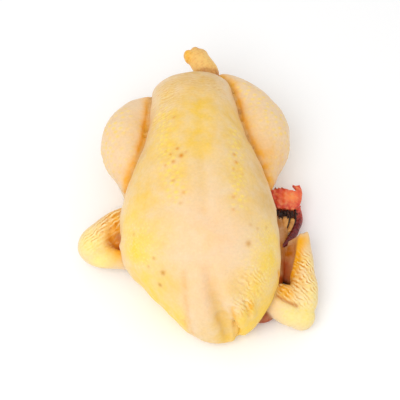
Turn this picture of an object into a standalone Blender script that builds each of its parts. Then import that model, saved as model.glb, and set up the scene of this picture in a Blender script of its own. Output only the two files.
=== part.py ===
"""Whole raw chicken, head on, lying on its back: one solid.

Metres, +Z up, +Y towards the tail, +X towards the bird's right side. The origin is on the table under the middle
of the bird. The trunk is a loft of cross-sections and each limb is a tube through its joints. They are melted
together with a voxel Remesh, as flesh and skin run into each other, then the comb, beak and wattle are joined
on, and the back is pressed flat where the bird lies.
"""

from math import cos, pi, sin

import bmesh
import bpy
import numpy as np
from mathutils import Vector

# Driving dimensions
TRUNK_LENGTH = 0.244
TRUNK_WIDTH = 0.141
TRUNK_HEIGHT = 0.104
TRUNK_MIDDLE_Y = -0.006
WAIST = 0.42  # height of the widest line of the trunk, as a share of its height
BACK_SINK = 0.006  # how far the back would reach below the table if it were not pressed flat
NECK_RADIUS = 0.0115
SKULL_RADIUS = 0.0135
SHANK_RADIUS = 0.0105
TAIL_RADIUS = 0.013
COMB_THICKNESS = 0.005
COMB_POINTS = 5
BEAK_RADIUS = 0.0055
TABLE_CUT = 0.03  # depth of the block that presses the back flat

# Fineness of the meshes
LOFT_SIDES = 40
TUBE_SIDES = 20
CAP_RINGS = 4
SKIN_VOXEL = 0.0060
SKIN_SMOOTHING = 0.5
SKIN_SMOOTH_ROUNDS = 4

# The trunk from tail to neck: share of the length, half width, sideways shift, top and bottom, as shares of the
# trunk's width and height.
TRUNK_STATIONS = (
    # along, half width, shift, top, bottom
    (0.000, 0.177, 0.014, 0.654, 0.40),
    (0.016, 0.241, 0.014, 0.750, 0.24),
    (0.066, 0.291, 0.014, 0.837, 0.10),
    (0.168, 0.316, 0.014, 0.894, 0.03),
    (0.279, 0.355, 0.014, 0.952, 0.00),
    (0.402, 0.429, 0.007, 0.990, 0.00),
    (0.520, 0.486, 0.000, 1.000, 0.00),
    (0.619, 0.500, 0.000, 0.981, 0.00),
    (0.721, 0.489, 0.011, 0.942, 0.00),
    (0.799, 0.426, 0.053, 0.865, 0.01),
    (0.869, 0.355, 0.078, 0.740, 0.02),
    (0.926, 0.273, 0.089, 0.596, 0.03),
    (0.965, 0.199, 0.096, 0.452, 0.05),
    (0.990, 0.128, 0.099, 0.317, 0.07),
    (1.000, 0.071, 0.096, 0.221, 0.11),
)

# Limbs as joints: x, y, z, half width, half height.
RIGHT_LEG = (
    (0.0220, 0.1180, 0.0560, 0.0090, 0.0090),
    (0.0390, 0.1070, 0.0510, 0.0150, 0.0145),
    (0.0560, 0.0880, 0.0460, 0.0215, 0.0210),
    (0.0630, 0.0670, 0.0430, 0.0270, 0.0260),
    (0.0610, 0.0470, 0.0380, 0.0265, 0.0260),
    (0.0500, 0.0280, 0.0320, 0.0210, 0.0250),
    (0.0320, 0.0300, 0.0280, 0.0200, 0.0240),
)
LEFT_LEG = (
    (-0.0120, 0.1100, 0.0390, 0.0100, 0.0100),
    (-0.0310, 0.0980, 0.0410, 0.0145, 0.0150),
    (-0.0500, 0.0840, 0.0420, 0.0205, 0.0205),
    (-0.0600, 0.0660, 0.0420, 0.0250, 0.0250),
    (-0.0590, 0.0470, 0.0370, 0.0245, 0.0250),
    (-0.0480, 0.0290, 0.0320, 0.0200, 0.0250),
    (-0.0300, 0.0300, 0.0280, 0.0200, 0.0240),
)
RIGHT_KNEE_SKIN = (
    (0.0610, 0.0420, 0.0390, 0.0200, 0.0200),
    (0.0620, 0.0220, 0.0360, 0.0135, 0.0170),
    (0.0580, 0.0020, 0.0330, 0.0085, 0.0120),
)
LEFT_KNEE_SKIN = (
    (-0.0570, 0.0440, 0.0380, 0.0180, 0.0200),
    (-0.0600, 0.0270, 0.0360, 0.0120, 0.0170),
    (-0.0560, 0.0080, 0.0330, 0.0080, 0.0120),
)
SHANK = (
    (0.026, 0.112, 0.055, SHANK_RADIUS, SHANK_RADIUS),
    (0.016, 0.124, 0.059, SHANK_RADIUS, SHANK_RADIUS),
    (0.011, 0.133, 0.060, SHANK_RADIUS * 0.92, SHANK_RADIUS * 0.92),
    (0.007, 0.142, 0.061, SHANK_RADIUS, SHANK_RADIUS),
)
TAIL = (
    (0.003, 0.086, 0.030, TAIL_RADIUS * 1.5, TAIL_RADIUS * 1.2),
    (0.003, 0.106, 0.026, TAIL_RADIUS * 1.3, TAIL_RADIUS),
    (0.003, 0.122, 0.025, TAIL_RADIUS * 0.8, TAIL_RADIUS * 0.65),
    (0.003, 0.128, 0.025, TAIL_RADIUS * 0.4, TAIL_RADIUS * 0.4),
)
LEFT_UPPER_WING = (
    (-0.0520, -0.0480, 0.0220, 0.0120, 0.0140),
    (-0.0730, -0.0440, 0.0180, 0.0100, 0.0120),
    (-0.0890, -0.0410, 0.0180, 0.0120, 0.0120),
    (-0.0960, -0.0330, 0.0210, 0.0140, 0.0135),
)
LEFT_FOREWING = (
    (-0.0960, -0.0330, 0.0210, 0.0140, 0.0135),
    (-0.0860, -0.0220, 0.0250, 0.0125, 0.0130),
    (-0.0700, -0.0120, 0.0280, 0.0105, 0.0120),
    (-0.0500, 0.0000, 0.0260, 0.0090, 0.0100),
)
LEFT_WING_SKIN = (
    (-0.0500, -0.0260, 0.0150, 0.0160, 0.0080),
    (-0.0880, -0.0300, 0.0180, 0.0140, 0.0090),
)
RIGHT_UPPER_WING = (
    (0.0440, -0.0780, 0.0220, 0.0150, 0.0150),
    (0.0590, -0.0910, 0.0170, 0.0125, 0.0125),
    (0.0740, -0.1030, 0.0140, 0.0130, 0.0120),
    (0.0880, -0.1075, 0.0125, 0.0130, 0.0120),
)
RIGHT_FOREWING = (
    (0.0850, -0.1060, 0.0120, 0.0130, 0.0115),
    (0.0895, -0.0920, 0.0160, 0.0130, 0.0130),
    (0.0910, -0.0730, 0.0200, 0.0110, 0.0120),
    (0.0925, -0.0550, 0.0230, 0.0080, 0.0095),
    (0.0930, -0.0420, 0.0250, 0.0065, 0.0060),
    (0.0930, -0.0360, 0.0255, 0.0060, 0.0040),
)
RIGHT_ELBOW = (
    (0.0740, -0.1030, 0.0130, 0.0110, 0.0120),
    (0.0860, -0.1085, 0.0125, 0.0120, 0.0120),
    (0.0930, -0.1000, 0.0130, 0.0085, 0.0110),
)
RIGHT_HAND = (
    (0.092, -0.044, 0.020, 0.0050, 0.0060),
    (0.083, -0.060, 0.013, 0.0080, 0.0050),
    (0.077, -0.080, 0.010, 0.0080, 0.0060),
)
NECK = (
    (0.026, -0.100, 0.013, NECK_RADIUS, NECK_RADIUS),
    (0.052, -0.094, 0.011, NECK_RADIUS, NECK_RADIUS),
    (0.064, -0.070, 0.011, NECK_RADIUS, NECK_RADIUS),
    (0.069, -0.045, 0.011, NECK_RADIUS, NECK_RADIUS),
    (0.074, -0.022, 0.012, NECK_RADIUS, NECK_RADIUS),
    (0.083, -0.003, 0.0145, SKULL_RADIUS, SKULL_RADIUS),
)
BEAK = (
    (0.081, -0.010, 0.018, BEAK_RADIUS, BEAK_RADIUS),
    (0.080, -0.019, 0.017, BEAK_RADIUS * 0.8, BEAK_RADIUS * 0.75),
    (0.078, -0.027, 0.014, BEAK_RADIUS * 0.25, BEAK_RADIUS * 0.25),
)
WATTLE = (
    (0.0910, -0.0010, 0.0140, 0.0040, 0.0035),
    (0.0925, -0.0100, 0.0140, 0.0043, 0.0034),
    (0.0920, -0.0170, 0.0135, 0.0044, 0.0032),
    (0.0870, -0.0270, 0.0135, 0.0038, 0.0028),
    (0.0805, -0.0370, 0.0140, 0.0026, 0.0022),
)
COMB_BASE = Vector((0.083, 0.000, 0.0185))
COMB_HALF_WIDTH = 0.0135
COMB_RISE = 0.013
COMB_TIP = 0.005


def through(joints, steps=5):
    """Rows of a smooth curve through the joints, with every column of the joints carried along."""
    rows = np.array(joints, float)
    padded = np.vstack([2 * rows[0] - rows[1], rows, 2 * rows[-1] - rows[-2]])
    found = []
    for a, b, c, d in zip(padded, padded[1:], padded[2:], padded[3:]):
        for t in np.arange(steps) / steps:
            bend = (2 * a - 5 * b + 4 * c - d) * t**2 + (3 * b - a - 3 * c + d) * t**3
            found.append(0.5 * (2 * b + (c - a) * t + bend))
    found.append(rows[-1])
    return found


def linked(name, mesh):
    """A new object in the scene from a bmesh, its faces pointing out."""
    bmesh.ops.recalc_face_normals(mesh, faces=mesh.faces)
    data = bpy.data.meshes.new(name)
    mesh.to_mesh(data)
    mesh.free()
    made = bpy.data.objects.new(name, data)
    bpy.context.scene.collection.objects.link(made)
    return made


def skin_over(name, rings):
    """A closed mesh over rings of points, the same number in each, with a pole in both ends."""
    mesh = bmesh.new()
    loops = [[mesh.verts.new(point) for point in ring] for ring in rings]
    count = len(loops[0])
    for lower, upper in zip(loops, loops[1:]):
        for i in range(count):
            j = (i + 1) % count
            mesh.faces.new((lower[i], lower[j], upper[j], upper[i]))
    for loop in (loops[0], loops[-1]):
        pole = mesh.verts.new(sum((v.co for v in loop), Vector()) / count)
        for i in range(count):
            mesh.faces.new((loop[i], loop[(i + 1) % count], pole))
    return linked(name, mesh)


def oval(centre, side, lift, half_width, half_height):
    """One ring of a tube."""
    turns = (2 * pi * k / TUBE_SIDES for k in range(TUBE_SIDES))
    return [centre + side * (half_width * cos(t)) + lift * (half_height * sin(t)) for t in turns]


def tube(name, joints):
    """A limb: oval rings along the joints, rounded at both ends."""
    line = through(joints)
    last = len(line) - 1
    rings = []
    for index, (x, y, z, half_width, half_height) in enumerate(line):
        along = Vector(line[min(index + 1, last)][:3] - line[max(index - 1, 0)][:3]).normalized()
        side = along.cross(Vector((0, 0, 1))).normalized()
        lift = side.cross(along)
        way = {0: -1, last: 1}.get(index, 0)
        bends = [pi / 2 * k / CAP_RINGS for k in range(CAP_RINGS)] if way else [0]
        if way < 0:
            bends.reverse()
        for bend in bends:
            reach = way * sin(bend) * min(half_width, half_height)
            centre = Vector((x, y, z)) + along * reach
            rings.append(oval(centre, side, lift, half_width * cos(bend), half_height * cos(bend)))
    return skin_over(name, rings)


def trunk():
    """The breast and back as one loft, broad over the breast and flatter along the back."""
    rings = []
    for along, half, shift, top, low in through(TRUNK_STATIONS, steps=4):
        y = TRUNK_MIDDLE_Y + TRUNK_LENGTH * (0.5 - along)
        waist = TRUNK_HEIGHT * (low + (top - low) * WAIST)
        rise = TRUNK_HEIGHT * top - waist
        drop = waist - TRUNK_HEIGHT * low + BACK_SINK
        ring = []
        for k in range(LOFT_SIDES):
            turn = 2 * pi * k / LOFT_SIDES
            x = np.sign(cos(turn)) * abs(cos(turn)) ** 0.86 * half * TRUNK_WIDTH
            z = rise * sin(turn) if sin(turn) > 0 else -drop * abs(sin(turn)) ** 0.80
            ring.append(Vector((x + shift * TRUNK_WIDTH, y, waist + z)))
        rings.append(ring)
    return skin_over("trunk", rings)


def comb():
    """A flat blade on the crown: a straight base and a row of points that grow towards the right."""
    outline = [(COMB_HALF_WIDTH, 0.0), (-COMB_HALF_WIDTH, 0.0)]
    pitch = 2 * COMB_HALF_WIDTH / COMB_POINTS
    for k in range(COMB_POINTS):
        left = -COMB_HALF_WIDTH + pitch * k
        outline.append((left, COMB_RISE))
        outline.append((left + pitch * 0.5, COMB_RISE + COMB_TIP * (0.6 + 0.1 * k)))
    outline.append((COMB_HALF_WIDTH, COMB_RISE))
    mesh = bmesh.new()
    low = COMB_BASE - Vector((0, 0, COMB_THICKNESS / 2))
    face = mesh.faces.new([mesh.verts.new(low + Vector((x, y, 0))) for x, y in outline])
    grown = bmesh.ops.extrude_face_region(mesh, geom=[face])["geom"]
    bmesh.ops.translate(
        mesh,
        verts=[v for v in grown if isinstance(v, bmesh.types.BMVert)],
        vec=(0, 0, COMB_THICKNESS),
    )
    return linked("comb", mesh)


def table_block():
    """The block under the table's top, which presses the back flat."""
    mesh = bmesh.new()
    bmesh.ops.create_cube(mesh, size=1.0)
    bmesh.ops.scale(mesh, verts=mesh.verts, vec=(0.4, 0.4, TABLE_CUT))
    bmesh.ops.translate(mesh, verts=mesh.verts, vec=(0, 0, -TABLE_CUT / 2))
    return linked("table_block", mesh)


def melted(masses):
    """One skin over all the masses, as a voxel Remesh with its steps smoothed away."""
    mesh = bmesh.new()
    for mass in masses:
        mesh.from_mesh(mass.data)
        bpy.data.objects.remove(mass)
    data = bpy.data.meshes.new("chicken")
    mesh.to_mesh(data)
    mesh.free()
    bird = bpy.data.objects.new("chicken", data)
    bpy.context.scene.collection.objects.link(bird)
    remesh = bird.modifiers.new("skin", "REMESH")
    remesh.mode = "VOXEL"
    remesh.voxel_size = SKIN_VOXEL
    smooth = bird.modifiers.new("soft", "SMOOTH")
    smooth.factor = SKIN_SMOOTHING
    smooth.iterations = SKIN_SMOOTH_ROUNDS
    return bird


def combine(bird, other, operation):
    """Join or cut the bird with another piece, which stays as a hidden guide."""
    other.hide_render = True
    other.display_type = "WIRE"
    boolean = bird.modifiers.new(other.name, "BOOLEAN")
    boolean.operation = operation
    boolean.solver = "EXACT"
    boolean.object = other


def yellow_skin():
    """Moist skin of a corn-fed bird."""
    material = bpy.data.materials.new("yellow_skin")
    material.use_nodes = True
    shader = material.node_tree.nodes["Principled BSDF"]
    shader.inputs["Base Color"].default_value = (0.79, 0.59, 0.27, 1.0)
    shader.inputs["Roughness"].default_value = 0.45
    shader.inputs["Metallic"].default_value = 0.0
    return material


def main():
    for thing in list(bpy.data.objects):
        bpy.data.objects.remove(thing)
    limbs = {
        "right_leg": RIGHT_LEG,
        "left_leg": LEFT_LEG,
        "right_knee_skin": RIGHT_KNEE_SKIN,
        "left_knee_skin": LEFT_KNEE_SKIN,
        "shank": SHANK,
        "tail": TAIL,
        "left_upper_wing": LEFT_UPPER_WING,
        "left_forewing": LEFT_FOREWING,
        "left_wing_skin": LEFT_WING_SKIN,
        "right_upper_wing": RIGHT_UPPER_WING,
        "right_forewing": RIGHT_FOREWING,
        "right_elbow": RIGHT_ELBOW,
        "right_hand": RIGHT_HAND,
        "neck": NECK,
    }
    bird = melted([trunk()] + [tube(name, joints) for name, joints in limbs.items()])
    combine(bird, tube("beak", BEAK), "UNION")
    combine(bird, tube("wattle", WATTLE), "UNION")
    combine(bird, comb(), "UNION")
    combine(bird, table_block(), "DIFFERENCE")
    bird.data.materials.append(yellow_skin())


main()
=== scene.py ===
"""A whole raw yellow-skinned chicken, head on, lying on its back on a pale surface."""

import math

import bmesh
import bpy
import numpy as np
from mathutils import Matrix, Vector, kdtree
from mathutils.bvhtree import BVHTree


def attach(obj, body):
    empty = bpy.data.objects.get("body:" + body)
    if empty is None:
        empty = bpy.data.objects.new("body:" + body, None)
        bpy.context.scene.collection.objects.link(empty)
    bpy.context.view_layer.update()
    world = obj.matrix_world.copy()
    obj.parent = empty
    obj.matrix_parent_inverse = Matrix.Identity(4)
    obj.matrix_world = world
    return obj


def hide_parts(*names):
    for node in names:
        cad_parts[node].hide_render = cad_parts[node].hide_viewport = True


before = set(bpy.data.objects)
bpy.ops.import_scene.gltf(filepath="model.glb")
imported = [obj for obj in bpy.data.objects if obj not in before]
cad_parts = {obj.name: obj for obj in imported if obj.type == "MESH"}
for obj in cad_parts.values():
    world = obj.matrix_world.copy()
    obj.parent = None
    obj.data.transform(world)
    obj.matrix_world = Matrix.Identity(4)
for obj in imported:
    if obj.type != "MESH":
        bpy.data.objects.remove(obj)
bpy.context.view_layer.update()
bpy.ops.object.select_all(action="DESELECT")
MM = 0.001

# Trunk. Breast, belly and back of a plump bird under one taut skin. The breast is broadest over the wings
# and draws in towards the tail; the back is pressed flat where the bird lies.
TRUNK_ROWS = (
    # y, middle x, half width, top, underside, in millimetres from tail to neck
    (116, 2, 25, 68, 42),
    (112, 2, 34, 78, 25),
    (100, 2, 41, 87, 10),
    (75, 2, 44.5, 93, 3),
    (48, 2, 50, 99, -3),
    (18, 1, 60.5, 103, -5),
    (-11, 0, 68.5, 104, -6),
    (-35, 0, 70.5, 102, -6),
    (-60, 1.5, 69, 98, -5),
    (-79, 7.5, 60, 90, -4),
    (-96, 11, 50, 77, -2),
    (-110, 12.5, 38.5, 62, 0),
    (-119.5, 13.5, 28, 47, 3),
    (-125.5, 14, 18, 33, 6),
    (-128, 13.5, 10, 23, 11),
)
WAIST = 0.42
SIDE_SQUARENESS = 0.86
BACK_SQUARENESS = 0.80


def between(rows, t):
    """The rows of a table read as one smooth curve, at each t from 0 to 1."""
    rows = np.array(rows, float)
    padded = np.vstack([2 * rows[0] - rows[1], rows, 2 * rows[-1] - rows[-2]])
    place = np.clip(t, 0, 1) * (len(rows) - 1)
    k = np.minimum(place.astype(int), len(rows) - 2)
    u = (place - k)[:, None]
    a, b, c, d = padded[k], padded[k + 1], padded[k + 2], padded[k + 3]
    return 0.5 * (2 * b + (c - a) * u + (2 * a - 5 * b + 4 * c - d) * u**2 + (3 * b - a - 3 * c + d) * u**3)


def ball(name, rings, segments):
    """A unit sphere, with the way along its axis (0 to 1) and the turn round it of every vertex."""
    bpy.ops.mesh.primitive_uv_sphere_add(segments=segments, ring_count=rings, radius=1.0)
    made = bpy.context.object
    made.name = name
    unit = vertices(made)
    return made, np.arccos(np.clip(unit[:, 2], -1, 1)) / math.pi, np.arctan2(unit[:, 1], unit[:, 0])


def vertices(piece):
    """All vertex places of a piece, in metres."""
    found = np.empty(len(piece.data.vertices) * 3)
    piece.data.vertices.foreach_get("co", found)
    return found.reshape(-1, 3)


def put_vertices(piece, places):
    piece.data.vertices.foreach_set("co", np.ascontiguousarray(places, dtype=np.float32).ravel())
    piece.data.update()


trunk, way, turn = ball("trunk", 72, 64)
y, middle, half, top, underside = between(TRUNK_ROWS, way).T
closing = np.sqrt(np.clip(np.minimum(way, 1 - way) / 0.012, 0, 1))
waist = underside + (top - underside) * WAIST
across = np.sign(np.cos(turn)) * np.abs(np.cos(turn)) ** SIDE_SQUARENESS * half * closing
lift = np.where(
    np.sin(turn) > 0,
    np.sin(turn) * (top - waist),
    -(np.abs(np.sin(turn)) ** BACK_SQUARENESS) * (waist - underside),
)
put_vertices(trunk, np.stack([middle + across, y, waist + lift * closing], 1) * MM)

# Legs. Each drumstick is folded tight against the trunk inside its skin, knee forward, with a web of skin
# from the knee to the flank. The flesh is plump at the knee and runs out thin at the hock.


def limb(name, joints, rings=48, segments=24):
    """A ball drawn out along joints of x, y, z, half width and half height in millimetres, with round ends."""
    made, way, turn = ball(name, rings, segments)
    rows = between(joints, way)
    ahead = between(joints, np.clip(way + 0.01, 0, 1))[:, :3]
    behind = between(joints, np.clip(way - 0.01, 0, 1))[:, :3]
    run = ahead - behind
    run /= np.linalg.norm(run, axis=1)[:, None]
    side = np.cross(run, (0.0, 0.0, 1.0))
    side /= np.linalg.norm(side, axis=1)[:, None]
    up = np.cross(side, run)
    length = np.linalg.norm(np.diff(np.array(joints, float)[:, :3], axis=0), axis=1).sum()
    cap = np.minimum(rows[:, 3], rows[:, 4]) / length
    end = np.clip(np.minimum(way, 1 - way) / cap, 0, 1)
    closing = np.sqrt(np.clip(1 - (1 - end) ** 2, 0, 1))
    wide = (rows[:, 3] * closing * np.cos(turn))[:, None]
    tall = (rows[:, 4] * closing * np.sin(turn))[:, None]
    put_vertices(made, (rows[:, :3] + side * wide + up * tall) * MM)
    return made


def melt(name, masses, voxel, rounds):
    """Joins masses into one closed skin by a voxel remesh, then rounds of smoothing that soften the joins."""
    bpy.ops.object.select_all(action="DESELECT")
    for mass in masses:
        mass.select_set(True)
    bpy.context.view_layer.objects.active = masses[0]
    bpy.ops.object.join()
    made = bpy.context.object
    made.name = name
    remesh = made.modifiers.new("skin", "REMESH")
    remesh.mode = "VOXEL"
    remesh.voxel_size = voxel * MM
    bpy.ops.object.modifier_apply(modifier=remesh.name)
    if rounds:
        soften = made.modifiers.new("soften", "SMOOTH")
        soften.factor = 0.5
        soften.iterations = rounds
        bpy.ops.object.modifier_apply(modifier=soften.name)
    return made


right_leg = melt(
    "right_leg",
    [
        limb(
            "right_drumstick",
            (
                (22, 118, 56, 9, 9),
                (39, 107, 51, 15, 14.5),
                (56, 88, 46, 21.5, 21),
                (63, 67, 43, 27, 26),
                (61, 47, 38, 26.5, 26),
                (50, 28, 32, 21, 25),
                (32, 30, 28, 20, 24),
            ),
        ),
        limb("right_knee_skin", ((61, 42, 39, 20, 20), (62, 22, 36, 13.5, 17), (58, 2, 33, 8.5, 12))),
        limb("right_thigh", ((50, 60, 22, 24, 20), (46, 30, 20, 26, 19), (40, 5, 20, 22, 18))),
    ],
    2.5,
    14,
)
left_leg = melt(
    "left_leg",
    [
        limb(
            "left_drumstick",
            (
                (-12, 110, 39, 10, 10),
                (-31, 98, 41, 14.5, 15),
                (-50, 84, 42, 20.5, 20.5),
                (-60, 66, 42, 25, 25),
                (-59, 47, 37, 24.5, 25),
                (-48, 29, 32, 20, 25),
                (-30, 30, 28, 20, 24),
            ),
        ),
        limb("left_knee_skin", ((-57, 44, 38, 18, 20), (-60, 27, 36, 12, 17), (-56, 8, 33, 8, 12))),
        limb("left_thigh", ((-48, 60, 22, 24, 20), (-45, 30, 20, 26, 19), (-40, 5, 20, 22, 18))),
    ],
    2.5,
    14,
)

# Left wing. It is folded with the elbow pointing out: the forewing runs back to the body behind it and
# the upper wing in front of it, with a hollow of thin skin between them.
left_wing = melt(
    "left_wing",
    [
        limb(
            "left_wing_bend",
            (
                (-50, 0, 26, 9, 10),
                (-70, -12, 28, 10.5, 12),
                (-86, -22, 25, 12.5, 13),
                (-96, -33, 21, 14, 13.5),
                (-89, -41, 18, 12, 12),
                (-73, -44, 18, 10, 12),
                (-52, -48, 22, 12, 14),
            ),
            rings=72,
        ),
        limb("left_wing_skin", ((-50, -26, 15, 16, 8), (-88, -30, 18, 14, 9))),
    ],
    1.8,
    5,
)

# Right wing. The upper wing lies out from the shoulder and the forewing folds back along the body to a
# pointed wrist. The hand lies deep in the pocket between them, under a ruck of loose skin.
right_wing = melt(
    "right_wing",
    [
        limb(
            "right_upper_wing",
            ((44, -78, 22, 15, 15), (59, -91, 17, 12.5, 12.5), (74, -103, 14, 13, 12),
            (88, -107.5, 12.5, 13, 12)),
        ),
        limb(
            "right_forewing",
            (
                (85, -106, 12, 13, 11.5),
                (89.5, -92, 16, 13, 13),
                (91, -73, 20, 11, 12),
                (92.5, -55, 23, 8, 9.5),
                (93, -42, 25, 6.5, 6),
                (93, -36, 25.5, 6, 4),
            ),
        ),
        limb("right_elbow", ((74, -103, 13, 11, 12), (86, -108.5, 12.5, 12, 12), (93, -100, 13, 8.5, 11))),
        limb("right_wing_fill", ((68, -92, 15, 9, 9), (80, -94, 17, 12, 11), (88, -96, 17, 10, 11))),
        limb("right_wrist", ((96.5, -44, 28, 2, 4), (97, -33, 29, 2, 3))),
        limb("right_wrist_web", ((79, -40, 14, 3.5, 4), (88, -38, 20, 3.5, 5), (95, -35, 26, 2.5, 4))),
        limb("right_wing_ruck", ((62, -86, 20, 8, 8), (72, -87, 20, 7, 8), (80, -91, 18, 7, 9))),
    ],
    1.5,
    3,
)
right_hand = melt(
    "right_hand",
    [
        limb("right_hand_plate", ((92, -42, 20, 5, 4), (84, -55, 12, 8, 4), (78, -76, 8, 8, 4))),
        limb("right_hand_edge", ((84, -40, 17, 4, 3), (80, -56, 11, 3, 3), (75, -74, 8, 3, 3))),
    ],
    1.5,
    3,
)

# Neck. Long and bare, it comes out under the front of the breast, passes beneath the wing and lies along
# the flank up to the skull.
neck = melt(
    "neck",
    [
        limb(
            "neck_skin",
            (
                (26, -96, 13, 11.5, 11.5),
                (50, -94, 11, 10.5, 11),
                (62, -72, 10.5, 10.5, 10.5),
                (68, -45, 10.5, 10.5, 10.5),
                (73, -24, 11, 10.5, 10.5),
                (80, -8, 11, 10, 10),
            ),
        ),
        limb("neck_bend", ((36, -98, 10, 9, 9), (50, -103.5, 8.5, 7.5, 8), (62, -101, 8.5, 6, 7))),
    ],
    1.8,
    3,
)
tail = melt(
    "tail",
    [limb("tail_nub", ((3, 84, 30, 20, 16), (3, 106, 26, 17, 13), (3, 122, 25, 11, 8.5),
    (3, 132, 25, 5, 4.5)))],
    2.0,
    6,
)

# Skin. All the flesh lies in one skin, soft over each limb and sharply creased where two limbs press
# together. The masses are measured before they are melted, so that each crease can be found again on the
# skin.


def shell(piece):
    """The surface of a piece, for measuring how far other points lie from it."""
    mesh = bmesh.new()
    mesh.from_mesh(piece.data)
    tree = BVHTree.FromBMesh(mesh)
    mesh.free()
    return tree


masses = [trunk, right_leg, left_leg, left_wing, right_wing, right_hand, neck, tail]
shells = {mass.name: shell(mass) for mass in masses}
skin = melt("skin", masses, 1.3, 2)
REACH = 9.0
places = vertices(skin) / MM
places[:, 2] = np.maximum(places[:, 2], 0.0)
put_vertices(skin, places * MM)


def gap_to(tree):
    """The distance of every skin point from a surface, in millimetres, up to REACH."""
    found = (tree.find_nearest(Vector(place) * MM, REACH * MM)[3] for place in places)
    return np.array([REACH if gap is None else gap / MM for gap in found])


gaps = {name: gap_to(tree) for name, tree in shells.items()}
nearest = np.array(list(gaps))[np.argmin(np.array(list(gaps.values())), axis=0)]


edges = np.empty(len(skin.data.edges) * 2, dtype=np.int32)
skin.data.edges.foreach_get("vertices", edges)
ends = edges.reshape(-1, 2)
neighbours = np.maximum(np.bincount(edges, minlength=len(places)), 1)


def spread(values, rounds):
    """Evens a mask out over neighbouring points of the skin."""
    for _ in range(rounds):
        shared = np.bincount(ends[:, 0], values[ends[:, 1]], len(places))
        shared += np.bincount(ends[:, 1], values[ends[:, 0]], len(places))
        values = 0.5 * values + 0.5 * shared / neighbours
    return values


def seam(one, other, width):
    """Close to 1 where two masses meet, and 0 further off than the width."""
    return spread(np.exp(-((np.maximum(gaps[one], gaps[other]) / width) ** 2)), 4)


def normals():
    found = np.empty(len(skin.data.vertices) * 3)
    skin.data.vertex_normals.foreach_get("vector", found)
    return found.reshape(-1, 3)


def press(depth):
    """Pushes the skin in, each point by its own depth in millimetres, or out where the depth is negative."""
    global places
    places = places - normals() * np.broadcast_to(depth, len(places))[:, None]
    put_vertices(skin, places * MM)


def on_skin(path):
    """Puts flat points x, y of a path on top of the skin; points that name their height are kept."""
    tree = shell(skin)
    found = []
    for point in path:
        if len(point) == 2:
            hit = tree.ray_cast(Vector((point[0], point[1], 200)) * MM, Vector((0, 0, -1)))[0]
            point = (*point, hit.z / MM if hit else 10.0)
        found.append(point)
    return found


def stroke(path, width):
    """Close to 1 along a path drawn on the skin, fading over the width in millimetres."""
    line = between(on_skin(path), np.linspace(0, 1, 6 * len(path)))
    best = np.full(len(places), 1e9)
    for start, end in zip(line, line[1:]):
        run = end - start
        share = np.clip((places - start) @ run / (run @ run + 1e-9), 0, 1)
        best = np.minimum(best, ((places - start - share[:, None] * run) ** 2).sum(1))
    return np.exp(-best / width**2)


def patches(*spots):
    """Soft round patches on the skin, each x, y, radius and strength; the strongest wins."""
    found = np.zeros(len(places))
    for x, y, radius, strength in spots:
        centre = np.array(on_skin([(x, y)])[0])
        found = np.maximum(found, strength * np.exp(-((places - centre) ** 2).sum(1) / radius**2))
    return found


def follicles(area, apart, size, seed):
    """Small dots, a little wider than long, strewn over an area of the skin and never closer than `apart`."""
    dice = np.random.default_rng(seed)
    taken = {}
    squeezed = places * (0.8, 1.2, 1.0)
    for point in dice.permutation(np.flatnonzero(dice.random(len(places)) < area)):
        place = squeezed[point]
        cell = tuple((place // apart).astype(int))
        around = [(cell[0] + i, cell[1] + j, cell[2] + k) for i in (-1, 0, 1) for j in (-1, 0,
            1) for k in (-1, 0, 1)]
        if all(np.linalg.norm(place - taken[other]) > apart for other in around if other in taken):
            taken[cell] = place
    tree = kdtree.KDTree(len(taken))
    for number, place in enumerate(taken.values()):
        tree.insert(place, number)
    tree.balance()
    return np.exp(-((np.array([tree.find(place)[2] for place in squeezed]) / size) ** 2))


# Where the legs press on the trunk the skin is drawn down into a deep crease; a golden painted shade lies
# beside it and a dark painted shade line in it.
leg_creases = np.maximum(seam("trunk", "right_leg", 1.3), seam("trunk", "left_leg", 1.3))
leg_crease_shade = np.maximum(seam("trunk", "right_leg", 7.0), seam("trunk", "left_leg", 7.0))
leg_side = spread((np.isin(nearest, ("right_leg", "left_leg"))).astype(float), 3)
wing_creases = np.maximum(seam("trunk", "right_wing", 1.8), seam("trunk", "left_wing", 1.8))
neck_creases = np.maximum(seam("trunk", "neck", 2.0), seam("right_wing", "neck", 1.8))
press(np.maximum(seam("trunk", "right_leg", 2.4), seam("trunk", "left_leg", 2.4)) * 2.2)
dice = np.random.default_rng(2)
for _ in range(7):
    direction = Vector(dice.normal(0, 1, 3)).normalized() * 2 * math.pi / dice.uniform(16, 44)
    press(np.sin(places @ np.array(direction) + dice.uniform(0, 6)) * 0.22)
press(wing_creases * 1.6)

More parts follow.
